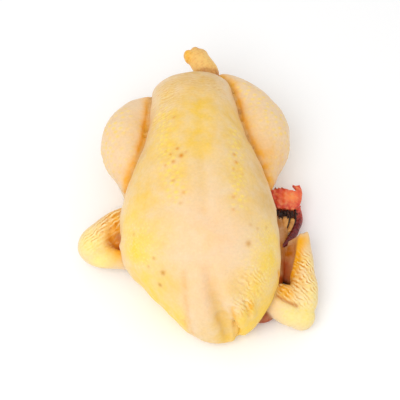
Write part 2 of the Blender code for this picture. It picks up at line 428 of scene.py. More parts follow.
# Loose skin at the front of the breast, where the neck was drawn under, hangs in broad upright folds.
FRONT_FOLDS = (
    # path, width, depth; a negative depth is a ridge
    (((-16, -90), (-16, -108), (-14, -118), (-10, -125)), 2.6, 1.2),
    (((5, -90), (7, -104), (11, -114), (17, -121), (22, -127)), 6.5, 4.2),
    (((12, -116), (16, -122), (19, -128)), 4.0, 2.2),
    (((-5, -94), (-3, -110), (3, -122)), 6.5, -2.2),
    (((19, -98), (22, -108), (26, -115)), 6.0, -1.2),
    (((21, -115), (24, -120), (26, -126)), 1.7, 1.4),
    (((24, -118, 38), (27, -123, 27), (29, -126, 16), (30, -125, 6)), 3.2, 5.0),
    (((-18, -116, 34), (-15, -122, 20), (-13, -123, 8)), 2.6, 1.8),
    (((37, -115, 32), (39, -117, 24)), 6.0, -2.0),
    (((-30, -84), (-38, -94), (-40, -100, 20)), 8.0, 1.0),
    (((30, -115), (31, -122)), 5.5, -2.8),
    (((39, -111), (40, -116)), 5.0, -2.2),
    (((34, -111), (36, -114), (38, -118)), 1.6, 1.4),
    (((-30, -100), (-28, -112), (-23, -120)), 4.5, 0.8),
    (((28, -97), (36, -101), (43, -105)), 1.6, 0.5),
    (((33, -94), (41, -97), (47, -101)), 1.6, 0.4),
    (((27, -102), (33, -106), (38, -110)), 1.6, 0.5),
    (((4, -46), (-10, -56), (-28, -68), (-44, -74)), 7.0, 0.9),
    (((4, -46), (16, -60), (30, -70), (38, -76)), 7.0, 0.8),
    (((3, -50), (2, -70), (4, -88)), 12.0, -1.2),
)
# Narrow grooves among the folds are also painted golden orange, as painted shade.
fold_shade = np.zeros(len(places))
for path, width, depth in FRONT_FOLDS:
    line = stroke(path, width)
    fold_shade = np.maximum(fold_shade, line * min(max(depth, 0), 1) * (0.25 if width < 3 else 0.0))
    press(line * depth)

# A shallow keel runs down the middle of the breast, and the skin over its rear end is finely wrinkled
# across.
press(stroke(((8, 92), (5, 50), (3, 0), (2, -40)), 5.0) * 0.8)
press(stroke(((-9, 60), (-10, 0), (-13, -40)), 15.0) * -0.9)
press(stroke(((20, 60), (19, 0), (18, -40)), 15.0) * -0.9)
press(stroke(((-4, -52), (-22, -66), (-34, -80)), 9.0) * 0.8)
VENT = ((-12, 116, 41), (3, 119, 38), (17, 116, 41))
press(stroke(VENT, 3.0) * 2.2)
press(stroke(VENT, 8.0) * -1.2)
rear_skin = patches((-24, 84, 22, 1.0), (-30, 60, 16, 0.8), (22, 92, 16, 0.7), (-4, 98, 18, 0.7))
rows = np.sin((places[:, 1] + 1.6 * np.sin(places[:, 0] * 0.33) + 0.9 * np.sin(places[:, 0] * 0.81)) * 1.55)
press(rear_skin * rows * 0.16)

# Wings. The left one is wrinkled across beside the body; the right one has a sharp ridge along its pocket,
# slanting slashes over the forewing and a rucked fold below the pocket.
WING_FOLDS = (
    (((-68, -10), (-76, -12), (-84, -15)), 1.5, 0.8),
    (((-68, -16), (-78, -19), (-90, -25)), 1.5, 0.9),
    (((-70, -38), (-74, -34), (-78, -27), (-73, -22)), 5.0, 2.6),
    (((-70, -38), (-72, -36)), 4.0, 2.0),
    (((-70, -46), (-79, -44), (-87, -36)), 3.5, -1.2),
    (((91.5, -37), (88, -48), (84.5, -60), (81.5, -70), (78, -79)), 2.2, -1.4),
    (((86, -64), (91, -69), (96, -76)), 1.5, 0.6),
    (((84, -75), (87, -83), (91, -92)), 1.5, 0.6),
    (((66, -79), (69, -84), (68, -89)), 1.5, 1.2),
    (((71, -79), (73, -84), (75, -90)), 1.5, 1.1),
    (((65, -94), (70, -98), (76, -101), (81, -103)), 1.8, 1.4),
    (((60, -97), (69, -102), (76, -107)), 6.0, -0.8),
)
# Narrow wing wrinkles are painted with the same golden orange shade along their grooves.
for path, width, depth in WING_FOLDS:
    line = stroke(path, width)
    fold_shade = np.maximum(fold_shade, line * min(max(depth, 0), 1) * (0.6 if width < 3 else 0.0))
    press(line * depth)

# Feather follicles stand up as small bumps: in two tracts down the breast, over the legs and on both
# shoulders.
tracts = np.maximum(
    stroke(((-27, 62), (-26, 30), (-23, 0), (-20, -24)), 11.0),
    stroke(((36, 40), (35, 5), (34, -18), (33, -36)), 8.0)
)
leg_pores = patches(
    (-70, 62, 13, 0.9), (-66, 78, 12, 0.9), (-80, 50, 14, 0.8), (-62, 40, 12, 0.5), (-46, 66, 9, 0.7),
    (62, 86, 14, 0.9), (48, 98, 14, 0.9), (80, 54, 13, 0.9), (64, 60, 12, 0.5), (48, 66, 9, 0.7),
)
leg_outside = np.isin(nearest, ("right_leg",
    "left_leg")) * (0.5 + 0.4 * np.sin(places[:, 1] / 9) * np.sin(places[:, 2] / 8))
leg_pores = np.maximum(leg_pores, leg_outside * (np.abs(places[:, 0]) > 66))
shoulders = patches(
    (-58, -58, 24, 1.0), (-50, -84, 22, 1.0), (-38, -104, 18, 0.9), (58, -66, 20, 0.9), (54, -88, 22, 1.0),
    (42, -104, 18, 0.9), (-64, -24, 14, 0.6),
)
follicle_dots = follicles(np.clip(tracts * 0.9 + leg_pores * 0.8, 0, 1) * 0.5, 4.8, 1.6, 3)
follicle_dots *= np.clip(tracts + leg_pores, 0, 1)
fine_dots = follicles(shoulders * 0.6, 2.9, 1.2, 5) * shoulders
wing_pores = patches((-98, -34, 16, 0.8), (-86, -44, 12, 0.7), (96, -78, 14, 0.9), (92, -104, 14, 0.9),
    (74, -106, 12, 0.6))
wing_dots = follicles(wing_pores * 0.6, 3.4, 1.2, 8) * wing_pores
press(-0.45 * follicle_dots - 0.14 * fine_dots - 0.2 * wing_dots)
places[:, 2] = np.maximum(places[:, 2], 0.0)
put_vertices(skin, places * MM)
orange_dots = patches(
    (-16, 17, 1.6, 0.9), (-22, 12, 1.5, 0.8), (-13, 9, 2.1, 1.0), (-20, 4, 1.6, 0.8), (-27, 2, 1.3, 0.6),
    (-17, 53, 1.8, 0.5),
    (-26, 17, 1.2, 0.4), (-21, -14, 1.6, 0.7), (-13, -27, 1.8, 0.5), (-16, -36, 1.5, 0.4),
    (33, 11, 1.7, 0.8), (34, 3, 1.8, 0.8),
    (31, -4, 1.4, 0.5), (39, -7, 1.3, 0.4), (29, -31, 1.8, 0.5), (28, -43, 1.5, 0.5), (-9, 12, 1.3, 0.5),
)
brown_dots = patches(
    (39, -70, 2.6, 0.7), (-41, -73, 1.6, 0.6), (-34, -84, 2.2, 0.9), (-37, -90, 2.0, 0.9),
    (-46, -76, 1.4, 0.4),
    (-57, -50, 1.6, 0.4), (48, -56, 1.5, 0.4), (42, -54, 1.6, 0.4), (56, -52, 1.5, 0.4),
)


def paint(piece, name, values):
    """Keeps a painted mask on a piece, from 0 to 1, for its material."""
    layer = piece.data.attributes.new(name, "FLOAT", "POINT")
    layer.data.foreach_set("value", np.clip(values, 0, 1).astype(np.float32))


breast_fat = patches(
    (-24, 78, 24, 0.6), (-24, 50, 32, 0.85), (-26, 20, 32, 0.85), (34, 56, 26, 0.75), (34, 30, 28, 0.75),
    (5, 60, 32, 0.85), (4, 26, 30, 0.85), (-20, -10, 28, 0.75), (34, -8, 24, 0.75), (-48, -20, 28, 0.8),
    (-50, 4, 26, 0.7), (-36, -54, 24, 0.6), (36, -36, 22, 0.6), (27, -100, 18, 0.6), (-30, -92, 22, 0.7),
)
low = 1 / (1 + np.exp((places[:, 2] - 52) / 9))
flanks = low * (0.45 + 0.35 * np.sin(places[:, 1] / 21 + 1.0) * np.sin(places[:, 0] / 17))
paint(skin, "fat", np.maximum(breast_fat, flanks * np.isin(nearest, ("trunk", "tail"))))
rich = patches(
    (-60, -40, 20, 0.8), (-56, -62, 22, 1.0), (-48, -84, 22, 1.0), (-38, -104, 18, 1.0),
    (-26, -120, 14, 1.0),
    (60, -62, 18, 0.9), (56, -80, 20, 1.0), (46, -98, 18, 1.0), (36, -114, 14, 1.0), (30, -123, 10, 1.0),
    (-36, -98, 16, 1.0), (-30, -106, 15, 1.0), (-22, -114, 12, 1.0), (-14, -121, 8, 0.9),
    (40, -114, 10, 1.0),
    (6, 48, 20, 0.3), (5, 22, 18, 0.25), (-24, 30, 14, 0.3),
)
front = places[:, 1] < -84
left_edge = 1 / (1 + np.exp((places[:, 0] + 17 + 0.12 * (places[:, 1] + 110)) / 1.6))
right_edge = 1 / (1 + np.exp((30 - places[:, 0] + 0.35 * (places[:, 1] + 110)) / 3.0))
side = np.clip(1.15 * left_edge + 1.05 * right_edge, 0, 1) * np.clip((62 - places[:, 2]) / 30, 0, 1)
side = side * spread((nearest == "trunk").astype(float), 3)
rich = np.where(front, np.maximum(rich * np.clip(left_edge + right_edge, 0.25, 1), side), rich)
paint(skin, "rich", spread(rich, 2))
paint(skin, "dots", np.maximum(follicle_dots, 0.8 * np.maximum(fine_dots, wing_dots)))
paint(skin, "painted_fold_shade", fold_shade)
paint(skin, "blush", patches((4, -66, 30, 0.9), (2, -92, 24, 0.9), (-6, -112, 13, 0.9),
    (-12, -72, 22, 0.5), (-6, -30, 20, 0.3)))
# Painted shade: a tan over the rear of the breast, the right flank and two spots beside the legs, along the
# valley among the front folds and faintly along the keel groove.
valley_shade = stroke(((6, -98), (10, -112), (15, -120), (19, -125)), 5.5)
painted_shade = patches((9, 102, 26, 0.9), (-16, 96, 18, 0.5), (60, -24, 20, 0.9), (56, 4, 18, 0.8),
    (50, 30, 14, 0.6), (-48, 24, 14, 0.5))
paint(skin, "painted_shade", np.maximum(np.maximum(painted_shade, 0.85 * valley_shade),
    0.35 * stroke(((8, 86), (5, 50), (3, 0), (4, -44)), 4.0)))
# Golden painted shade beside the leg creases, stronger on the leg side, and in patches at the lower ends of
# the legs and in a front crease.
paint(skin, "golden_crease_shade", leg_crease_shade * (0.35 + 0.85 * leg_side) + patches((-60, 12, 12, 0.8), (63, 8, 16, 0.7),
    (66, 30, 18, 0.4), (39, -113, 5, 0.5)))
paint(skin, "orange_dots", orange_dots)
# A dark brown painted shade line in the creases at the legs, the wings and the neck.
paint(skin, "crease_line_shade", np.maximum(leg_creases * 0.8, np.maximum(wing_creases * 0.45, neck_creases * 0.6)))
paint(skin, "spots", brown_dots)
on_wings = spread(np.isin(nearest, ("right_wing", "left_wing")).astype(float), 3)
gold = patches(
    (-74, -14, 16, 0.9), (-82, -24, 14, 0.7), (-76, -44, 14, 1.0), (-86, -46, 10, 0.4), (84, -62, 14, 0.9),
    (80, -80, 14, 0.8), (70, -88, 14, 1.0), (92, -44, 12, 0.7), (62, -92, 12, 0.9), (94, -72, 12, 0.5),
)
paint(skin, "gold", gold * on_wings)
# Painted shade in the wing hollows and the pocket: amber round them, dark orange-brown deeper in and near
# black at their cores; the dark orange also runs along the ruck fold and the vent groove, the amber along a
# front crease.
amber_hollow_shade = stroke(((90, -44), (87, -54), (84, -64), (80, -74)), 4.5)
amber_hollow_shade = np.maximum(amber_hollow_shade, stroke(((66, -80), (70, -86), (74, -92)), 4.5) * 0.8)
amber_hollow_shade = np.maximum(amber_hollow_shade, stroke(((23, -115), (25, -120), (28, -124)), 1.6) * 0.6)
amber_hollow_shade = np.maximum(amber_hollow_shade, patches((-72, -44, 7, 0.9), (-79, -42, 6, 0.5), (-71, -22, 8, 1.0),
    (-79, -29, 8, 0.9), (-74, -33, 8, 1.0), (40, -113, 3, 0.6)))
paint(skin, "amber_hollow_shade", amber_hollow_shade)
deep_hollow_shade = np.maximum(stroke(((76, -58), (75, -66), (74, -73)), 4.5) * 0.9, patches((71, -74, 5, 1.0)))
deep_hollow_shade = np.maximum(deep_hollow_shade, on_wings * patches((-71, -37, 6, 1.0), (-71, -29, 6, 0.6), (-77, -35, 6, 0.5)))
darkest_hollow_shade = patches((73, -75, 4.5, 1.0), (-70, -38, 3, 0.5))
paint(skin, "darkest_hollow_shade", darkest_hollow_shade)
deep_hollow_shade = np.maximum(deep_hollow_shade, 0.5 * stroke(((65, -94), (70, -98), (76, -101), (81, -103)), 1.5))
deep_hollow_shade = np.maximum(deep_hollow_shade, 0.6 * stroke(VENT, 2.0))
paint(skin, "deep_hollow_shade", deep_hollow_shade)
# The hand lies in the shade of the wing pocket: its orange is partly its own colour and partly painted shade.
paint(skin, "hand", spread((nearest == "right_hand").astype(float), 4) + 0.8 * patches((84, -42, 7, 1.0),
    (79, -50, 6, 1.0)))
paint(skin, "pale", on_wings * patches((90, -112, 16, 0.9), (78, -112, 14, 0.8), (96, -92, 14, 0.7),
    (97, -66, 10, 0.5), (-98, -36, 16, 0.9), (-90, -50, 12, 0.9)))
# The neck's raw skin, painted orange-brown and red-brown where it lies in shade under the wing and along the
# flank: partly its own colour, partly painted shade.
paint(skin, "neck_flesh_and_shade", spread((nearest == "neck").astype(float), 4))
paint(skin, "raw_neck_and_shade", (places[:, 1] < -92) * spread((nearest == "neck").astype(float), 3))
# Wrinkle stripes on the wings, the front and the rear of the breast; the material paints their troughs with
# shade and their crests with highlights.
left_ribs = on_wings * patches((-72, -12, 14, 1.0), (-84, -18, 13, 1.0), (-94, -28, 10, 0.8),
    (-80, -32, 8, 0.6))
right_ribs = on_wings * patches((92, -68, 12, 1.0), (88, -84, 13, 1.0), (84, -95, 9, 0.7),
    (68, -84, 9, 1.0), (74, -90, 9, 0.8))
front_ribs = patches((42, -98, 14, 0.4), (34, -112, 10, 0.6), (-34, -106, 16, 0.25))
rib_phase = places[:, 1] + 1.2 * np.sin(places[:, 0] * 0.12)
for ribs, lean_x, lean_y in ((left_ribs, 0.59, -0.81), (right_ribs, 0.77, 0.64), (front_ribs, 0.47, 0.88)):
    rib_phase = np.where(ribs > 0.02, lean_x * places[:, 0] + lean_y * places[:, 1], rib_phase)
paint(skin, "ribs", np.maximum.reduce([left_ribs, right_ribs, front_ribs, rear_skin * 0.3]))
paint(skin, "rib_phase", rib_phase / 400 + 0.5)
paint(skin, "pores", np.clip(shoulders + 0.6 * wing_pores + 0.5 * leg_pores + 0.4 * tracts, 0, 1))


def linear(hex_colour):
    """An sRGB hex colour as linear red, green, blue and alpha."""
    parts = [int(hex_colour[i : i + 2], 16) / 255 for i in (1, 3, 5)]
    return (*[c / 12.92 if c <= 0.04045 else ((c + 0.055) / 1.055) ** 2.4 for c in parts], 1.0)


def add_node(material, kind, settings=None, links=None):
    """Adds a node, sets its properties and inputs by name, and links its inputs from other nodes' outputs."""
    node = material.node_tree.nodes.new(kind)
    for key, value in (settings or {}).items():
        if isinstance(key, str) and hasattr(node, key):
            setattr(node, key, value)
        else:
            node.inputs[key].default_value = value
    for key, (source, output) in (links or {}).items():
        material.node_tree.links.new(source.outputs[output], node.inputs[key])
    return node


def new_material(name):
    material = bpy.data.materials.new(name)
    material.use_nodes = True
    return material, material.node_tree.nodes["Principled BSDF"]


def noise(material, size, detail=3.0):
    """Soft noise whose lumps are about `size` millimetres across, in the piece's own coordinates."""
    own = add_node(material, "ShaderNodeTexCoord")
    return add_node(
        material, "ShaderNodeTexNoise", {"Scale": 1000.0 / size, "Detail": detail},
        {"Vector": (own, "Object")}
    )


def ranged(material, source, output, low, high, to_low, to_high):
    """Maps one value range of a node's output to another."""
    settings = {"From Min": low, "From Max": high, "To Min": to_low, "To Max": to_high}
    return add_node(material, "ShaderNodeMapRange", settings, {"Value": (source, output)}), "Result"


def blend(material, base, factor, colour):
    """Lays one colour over another by a factor."""
    links = {0: factor, 6: base}
    return add_node(material, "ShaderNodeMix", {"data_type": "RGBA", 7: linear(colour)}, links), 2


def flat(material, colour):
    node = add_node(material, "ShaderNodeRGB")
    node.outputs[0].default_value = linear(colour)
    return node, 0


def times(material, one, other):
    return add_node(material, "ShaderNodeMath", {"operation": "MULTIPLY"}, {0: one, 1: other}), 0


# The skin is thin, moist and a little see-through: pale peach flesh under uneven yellow fat, pink where
# the breast is stretched; the gloss is soft and patchy. Shade is painted into the colour: tan over the rear
# and the far flank, golden orange along folds and beside the leg creases, browns where the neck and the
# hand lie in the wing pocket, amber to near black in the wing hollows and a dark line in the creases. The
# wrinkle stripes get painted shade in their troughs and painted highlights on their crests.
chicken_skin, shader = new_material("moist_chicken_skin")
cloud = noise(chicken_skin, 9.0)
mottle = noise(chicken_skin, 2.2)
uneven = ranged(chicken_skin, cloud, "Fac", 0.32, 0.68, 0.62, 1.1)
pores = add_node(chicken_skin, "ShaderNodeAttribute", {"attribute_name": "pores"})
own = add_node(chicken_skin, "ShaderNodeTexCoord")
goosebumps = add_node(chicken_skin, "ShaderNodeTexVoronoi", {"Scale": 1000.0 / 2.6},
    {"Vector": (own, "Object")})
bumps = ranged(chicken_skin, goosebumps, "Distance", 0.08, 0.5, 1.0, 0.0)
bumps = times(chicken_skin, bumps, (pores, "Fac"))
colour = flat(chicken_skin, "#edd4b4")
# Several of these colours are painted shade: the tan, the golden orange of folds and leg creases, the browns
# of the neck and hand, the amber, dark orange and near black of the hollows and the crease line.
for mask, shade, broken in (
    ("painted_shade", "#d9af62", True),
    ("fat", "#f1c340", True),
    ("rich", "#fbd24c", True),
    ("blush", "#f8cd9a", True),
    ("gold", "#f6bc34", True),
    ("pale", "#fce890", False),
    ("dots", "#fbdc60", False),
    ("painted_fold_shade", "#e09420", True),
    ("golden_crease_shade", "#f2b03c", True),
    ("neck_flesh_and_shade", "#bb7a34", True),
    ("raw_neck_and_shade", "#a4482c", True),
    ("hand", "#cf7c08", True),
    ("amber_hollow_shade", "#f8b000", False),
    ("deep_hollow_shade", "#b44a00", False),
    ("darkest_hollow_shade", "#4a1400", False),
    ("orange_dots", "#dd8a1c", False),
    ("spots", "#cc8c28", False),
    ("crease_line_shade", "#8a5610", False),
):
    factor = (add_node(chicken_skin, "ShaderNodeAttribute", {"attribute_name": mask}), "Fac")
    if broken:
        factor = times(chicken_skin, factor, uneven)
    colour = blend(chicken_skin, colour, factor, shade)
raised = times(chicken_skin, bumps, ranged(chicken_skin, mottle, "Fac", 0.35, 0.7, 0.0, 0.6))
colour = blend(chicken_skin, colour, raised, "#fdecae")
RIB_TURNS = 2 * math.pi / 3.1
phase = add_node(chicken_skin, "ShaderNodeAttribute", {"attribute_name": "rib_phase"})
wobble = ranged(chicken_skin, noise(chicken_skin, 8.0, 2.0), "Fac", 0.0, 1.0, 0.0, 8.0 * RIB_TURNS)
angle = add_node(
    chicken_skin, "ShaderNodeMath", {"operation": "MULTIPLY_ADD", 1: 400 * RIB_TURNS},
    {0: (phase, "Fac"), 2: wobble}
)
wave = add_node(chicken_skin, "ShaderNodeMath", {"operation": "SINE"}, {0: (angle, 0)})
ribs = add_node(chicken_skin, "ShaderNodeAttribute", {"attribute_name": "ribs"})
broken = ranged(chicken_skin, noise(chicken_skin, 4.0), "Fac", 0.38, 0.6, 0.0, 1.1)
rib_mask = times(chicken_skin, (ribs, "Fac"), broken)
# Painted light on the wrinkle stripes: orange painted shade in the troughs and a near-white painted highlight
# on the crests, which also raise the bump.
trough_shade = times(chicken_skin, rib_mask, ranged(chicken_skin, wave, 0, 0.0, -1.0, 0.0, 1.0))
crests = times(chicken_skin, rib_mask, ranged(chicken_skin, wave, 0, 0.1, 1.0, 0.0, 0.75))
colour = blend(chicken_skin, colour, trough_shade, "#d4820e")
colour = blend(chicken_skin, colour, crests, "#fff3c4")
light_and_dark = ranged(chicken_skin, mottle, "Fac", 0.3, 0.7, 0.96, 1.03)
toned = add_node(chicken_skin, "ShaderNodeHueSaturation", {}, {"Color": colour, "Value": light_and_dark})
chicken_skin.node_tree.links.new(toned.outputs["Color"], shader.inputs["Base Color"])
gloss = ranged(chicken_skin, cloud, "Fac", 0.3, 0.7, 0.36, 0.56)
chicken_skin.node_tree.links.new(gloss[0].outputs[gloss[1]], shader.inputs["Roughness"])
relief = add_node(chicken_skin, "ShaderNodeMath", {"operation": "MULTIPLY_ADD", 1: 0.25},
    {0: (mottle, "Fac"), 2: bumps})
ribbed = add_node(chicken_skin, "ShaderNodeMath", {"operation": "ADD"}, {0: (relief, 0), 1: crests})
bump = add_node(chicken_skin, "ShaderNodeBump", {"Strength": 0.6, "Distance": 0.3 * MM},
    {"Height": (ribbed, 0)})
chicken_skin.node_tree.links.new(bump.outputs["Normal"], shader.inputs["Normal"])
shader.inputs["Specular IOR Level"].default_value = 0.25
shader.inputs["Subsurface Weight"].default_value = 0.08
shader.inputs["Subsurface Radius"].default_value = (1.0, 0.5, 0.2)
shader.inputs["Subsurface Scale"].default_value = 2.0 * MM
skin.data.materials.append(chicken_skin)
bpy.ops.object.select_all(action="DESELECT")
skin.select_set(True)
bpy.context.view_layer.objects.active = skin
bpy.ops.object.shade_smooth()
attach(skin, "root")
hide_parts("chicken")

# Shank. The leg is cut off just below the hock: a short stump in hard yellow scales, with the three knobs
# of the bone end showing.
shank = melt(
    "shank",
    [
        limb("shank_bone", ((25, 114, 56, 10, 10), (15, 128, 60, 10.5, 10), (9, 139, 61, 10, 9.5),
        (6, 145, 61, 10, 9))),
        limb("shank_knob_left", ((3, 134, 62, 5, 7), (-1, 146, 62, 4.5, 7))),
        limb("shank_knob_middle", ((8, 138, 62, 5, 8), (6.5, 149, 62, 4.5, 7.5))),
        limb("shank_knob_right", ((15, 136, 61, 5, 7), (14, 146, 61, 4.5, 7))),
    ],
    1.0,
    2,
)
where = vertices(shank) / MM
scale_rows = np.sin(where[:, 1] * 1.9 + where[:, 0] * 0.5) * np.sin(where[:, 0] * 1.7 - where[:, 1] * 0.4)
paint(shank, "scale_edge", 0.5 - 0.5 * scale_rows)
paint(shank, "golden", np.exp(-(((where[:, 0] + 1) / 5) ** 2 + ((where[:, 1] - 140) / 13) ** 2)))
paint(shank, "joint", np.exp(-(((where[:, 0] - 12) / 7) ** 2 + ((where[:, 1] - 148) / 6) ** 2)))
paint(shank, "cut", 1 / (1 + np.exp(where[:, 1] - 122)))
scale_yellow, shader = new_material("shank_scales")
grain = noise(scale_yellow, 3.0)
uneven = ranged(scale_yellow, grain, "Fac", 0.3, 0.7, 0.5, 1.1)
colour = flat(scale_yellow, "#f4c670")
for mask, shade in (("golden", "#f8b820"), ("joint", "#cf9050"), ("scale_edge", "#d99440"),
    ("cut", "#b87428")):
    factor = times(scale_yellow, (add_node(scale_yellow, "ShaderNodeAttribute", {"attribute_name": mask}),
        "Fac"), uneven)
    if mask == "scale_edge":
        factor = times(scale_yellow, factor, ranged(scale_yellow, grain, "Fac", 0.4, 0.6, 0.1, 0.7))
    colour = blend(scale_yellow, colour, factor, shade)
scale_yellow.node_tree.links.new(colour[0].outputs[colour[1]], shader.inputs["Base Color"])
own = add_node(scale_yellow, "ShaderNodeTexCoord")
scales = add_node(scale_yellow, "ShaderNodeTexVoronoi", {"Scale": 1000.0 / 3.2},
    {"Vector": (own, "Object")})
bump = add_node(scale_yellow, "ShaderNodeBump", {"Strength": 0.6, "Distance": 0.5 * MM},
    {"Height": (scales, "Distance")})
scale_yellow.node_tree.links.new(bump.outputs["Normal"], shader.inputs["Normal"])
shader.inputs["Roughness"].default_value = 0.45
shader.inputs["Subsurface Weight"].default_value = 0.08
shader.inputs["Subsurface Scale"].default_value = 1.5 * MM
shank.data.materials.append(scale_yellow)
bpy.ops.object.select_all(action="DESELECT")
shank.select_set(True)
bpy.context.view_layer.objects.active = shank
bpy.ops.object.shade_smooth()
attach(shank, "root")
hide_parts("chicken")

# Head. Red bare skin over the skull, a fleshy comb with a few points, dark feather stubs round the eye, a
# horny beak that points to the neck, and a wattle that hangs beside it. Dark strips in the stub material
# stand for the shadows in the beak's gap, under its tip and between the head and the body.
face = melt(
    "face",
    [
        limb("skull", ((80, 4, 10, 8, 8), (81, -8, 10, 9.5, 8.5), (80, -16, 11, 6, 6))),
        limb("cheek", ((87, 0, 13, 6, 6), (90, -11, 12.5, 5, 5), (88, -19, 11, 4, 4))),
    ],
    1.0,
    3,
)
COMB_OUTLINE = (
    (73.5, -4.5), (68.5, 13.5), (70, 15.5), (71.5, 13.8), (74, 17.5), (75.3, 14.8), (77.2, 17),
    (78, 15.2), (79.8, 17.2),
    (82, 14.5), (84.5, 14.8), (87, 13), (92, 12), (93.5, 13), (90, 18.5), (93.5, 17.5), (96.5, 18),
    (98, 13.5), (98, 8.5),
    (97, 3), (94.5, -3), (88, -7.5), (83.5, -6.5),
)
bpy.ops.object.select_all(action="DESELECT")
bpy.ops.mesh.primitive_circle_add(vertices=len(COMB_OUTLINE), fill_type="NGON")
comb = bpy.context.object
comb.name = "comb"
put_vertices(comb, np.array([(x, y, 17.5) for x, y in COMB_OUTLINE]) * MM)
bpy.ops.object.mode_set(mode="EDIT")
bpy.ops.mesh.select_all(action="SELECT")
bpy.ops.mesh.extrude_region_move(TRANSFORM_OT_translate={"value": (0, 0, 4.5 * MM)})
bpy.ops.mesh.select_all(action="SELECT")
bpy.ops.mesh.normals_make_consistent(inside=False)
bpy.ops.object.mode_set(mode="OBJECT")
comb = melt("comb", [comb], 0.5, 3)
where = vertices(comb) / MM
dome = 2.4 * np.exp(-(((where[:, 0] - 84) / 9) ** 2 + ((where[:, 1] - 5) / 8) ** 2))
creased = 0.5 * np.sin(where[:, 0] * 1.1 + where[:, 1] * 0.35) * np.sin(where[:, 1] * 0.5 + 1)
put_vertices(comb, (where + np.stack([0 * dome, 0 * dome, np.where(where[:, 2] > 19, dome + creased, 0)],
    1)) * MM)
where = vertices(comb) / MM
# Painted light on the comb: a paler orange highlight over the middle of its dome, and a darker red towards the
# rim that is partly the comb's own deeper red and partly painted shade.
paint(comb, "painted_highlight", np.exp(-(((where[:, 0] - 88) / 7) ** 2 + ((where[:, 1] - 5) / 6) ** 2)))
paint(comb, "dark", 1.1 - 1.3 * np.exp(-(((where[:, 0] - 86) / 10) ** 2 + ((where[:, 1] - 6) / 7) ** 2)))
paint(comb, "tips", 1 / (1 + np.exp(2.0 * (15.2 - where[:, 1]))) * (where[:, 0] < 82))

red_flesh, shader = new_material("comb_flesh")
lumps = noise(red_flesh, 5.0)
uneven = ranged(red_flesh, lumps, "Fac", 0.3, 0.7, 0.5, 1.1)
colour = flat(red_flesh, "#fb6c3c")
for mask, shade in (("painted_highlight", "#ff9a4e"), ("dark", "#d23c2e"), ("tips", "#4a1812")):
    factor = times(red_flesh, (add_node(red_flesh, "ShaderNodeAttribute", {"attribute_name": mask}),
        "Fac"), uneven)
    colour = blend(red_flesh, colour, factor, shade)
# Paler orange speckles are small painted highlights.
highlight_speckle = ranged(red_flesh, noise(red_flesh, 3.0), "Fac", 0.45, 0.7, 0.0, 0.6)
colour = blend(red_flesh, colour, highlight_speckle, "#fba462")
red_flesh.node_tree.links.new(colour[0].outputs[colour[1]], shader.inputs["Base Color"])
bump = add_node(red_flesh, "ShaderNodeBump", {"Strength": 0.5, "Distance": 0.4 * MM},
    {"Height": (noise(red_flesh, 1.4), "Fac")})
red_flesh.node_tree.links.new(bump.outputs["Normal"], shader.inputs["Normal"])
shader.inputs["Roughness"].default_value = 0.42
shader.inputs["Subsurface Weight"].default_value = 0.15
shader.inputs["Subsurface Scale"].default_value = 1.5 * MM
comb.data.materials.append(red_flesh)

where = vertices(face) / MM
paint(face, "down", np.exp(-(((where[:, 0] - 81) / 8) ** 2 + ((where[:, 1] + 8) / 7) ** 2)))
bare_face, shader = new_material("bare_face_skin")
colour = flat(bare_face, "#d9602c")
dark = ranged(bare_face, noise(bare_face, 2.0), "Fac", 0.3, 0.6, 0.6, 1.3)
factor = times(bare_face, (add_node(bare_face, "ShaderNodeAttribute", {"attribute_name": "down"}), "Fac"),
    dark)
colour = blend(bare_face, colour, factor, "#24100c")
bare_face.node_tree.links.new(colour[0].outputs[colour[1]], shader.inputs["Base Color"])
shader.inputs["Roughness"].default_value = 0.5
face.data.materials.append(bare_face)

dice = np.random.default_rng(11)
stubs = []
for number in range(66):
    x = 74 + 17 * dice.random()
    y = -5.0 - 8 * dice.random()
    z = 19.3 + 1.6 * dice.random()
    lean = dice.normal(0, 1.2)
    tip = (x + lean, y - 3.2 - 2.4 * dice.random(), z + 0.6)
    stubs.append(limb(f"stub_{number}", ((x, y, z - 1.5, 0.8, 0.8),
        (x + lean * 0.5, y - 1.6, z + 0.6, 0.7, 0.7), (*tip, 0.2, 0.2)), 8, 8))
# The next three strips, in the dark stub material, are painted shadow: in the gap between the beak halves,
# under the beak tip and between the head and the body.
stubs.append(limb("mouth_gap_shadow", ((84.5, -10, 20.0, 0.8, 0.8), (83.6, -17, 20.5, 0.8, 0.8),
    (80.8, -25, 18.5, 0.5, 0.5)), 16, 8))
stubs.append(limb("chin_shadow_strip", ((74.5, -26, 15.5, 1.3, 1.3), (78.5, -31.5, 14.5, 1.5, 1.2),
    (86, -28.5, 14.5, 1.0, 1.0)), 16, 8))
stubs.append(limb("throat_shadow_strip", ((74.5, -6, 17.5, 1.5, 1.5), (75, -16, 17, 1.5, 1.5),
    (75, -27, 15.5, 1.2, 1.2)), 16, 8))
stubs.append(limb("cheek_down", ((90, -8, 17.5, 0.9, 0.9), (89, -17, 18, 0.9, 0.9),
    (84.5, -25.5, 16.5, 0.6, 0.6)), 16, 8))
bpy.ops.object.select_all(action="DESELECT")
for stub in stubs:
    stub.select_set(True)
bpy.context.view_layer.objects.active = stubs[0]
bpy.ops.object.join()
stubs = bpy.context.object
stubs.name = "feather_stubs_and_shadow_strips"
dark_feather_and_shadow, shader = new_material("dark_feathers_and_shadow_strips")
streak = ranged(dark_feather_and_shadow, noise(dark_feather_and_shadow, 2.5), "Fac", 0.5, 0.75, 0.0, 0.8)
colour = blend(dark_feather_and_shadow, flat(dark_feather_and_shadow, "#2c140c"), streak, "#7c3a1c")
dark_feather_and_shadow.node_tree.links.new(colour[0].outputs[colour[1]], shader.inputs["Base Color"])
shader.inputs["Roughness"].default_value = 0.6
stubs.data.materials.append(dark_feather_and_shadow)

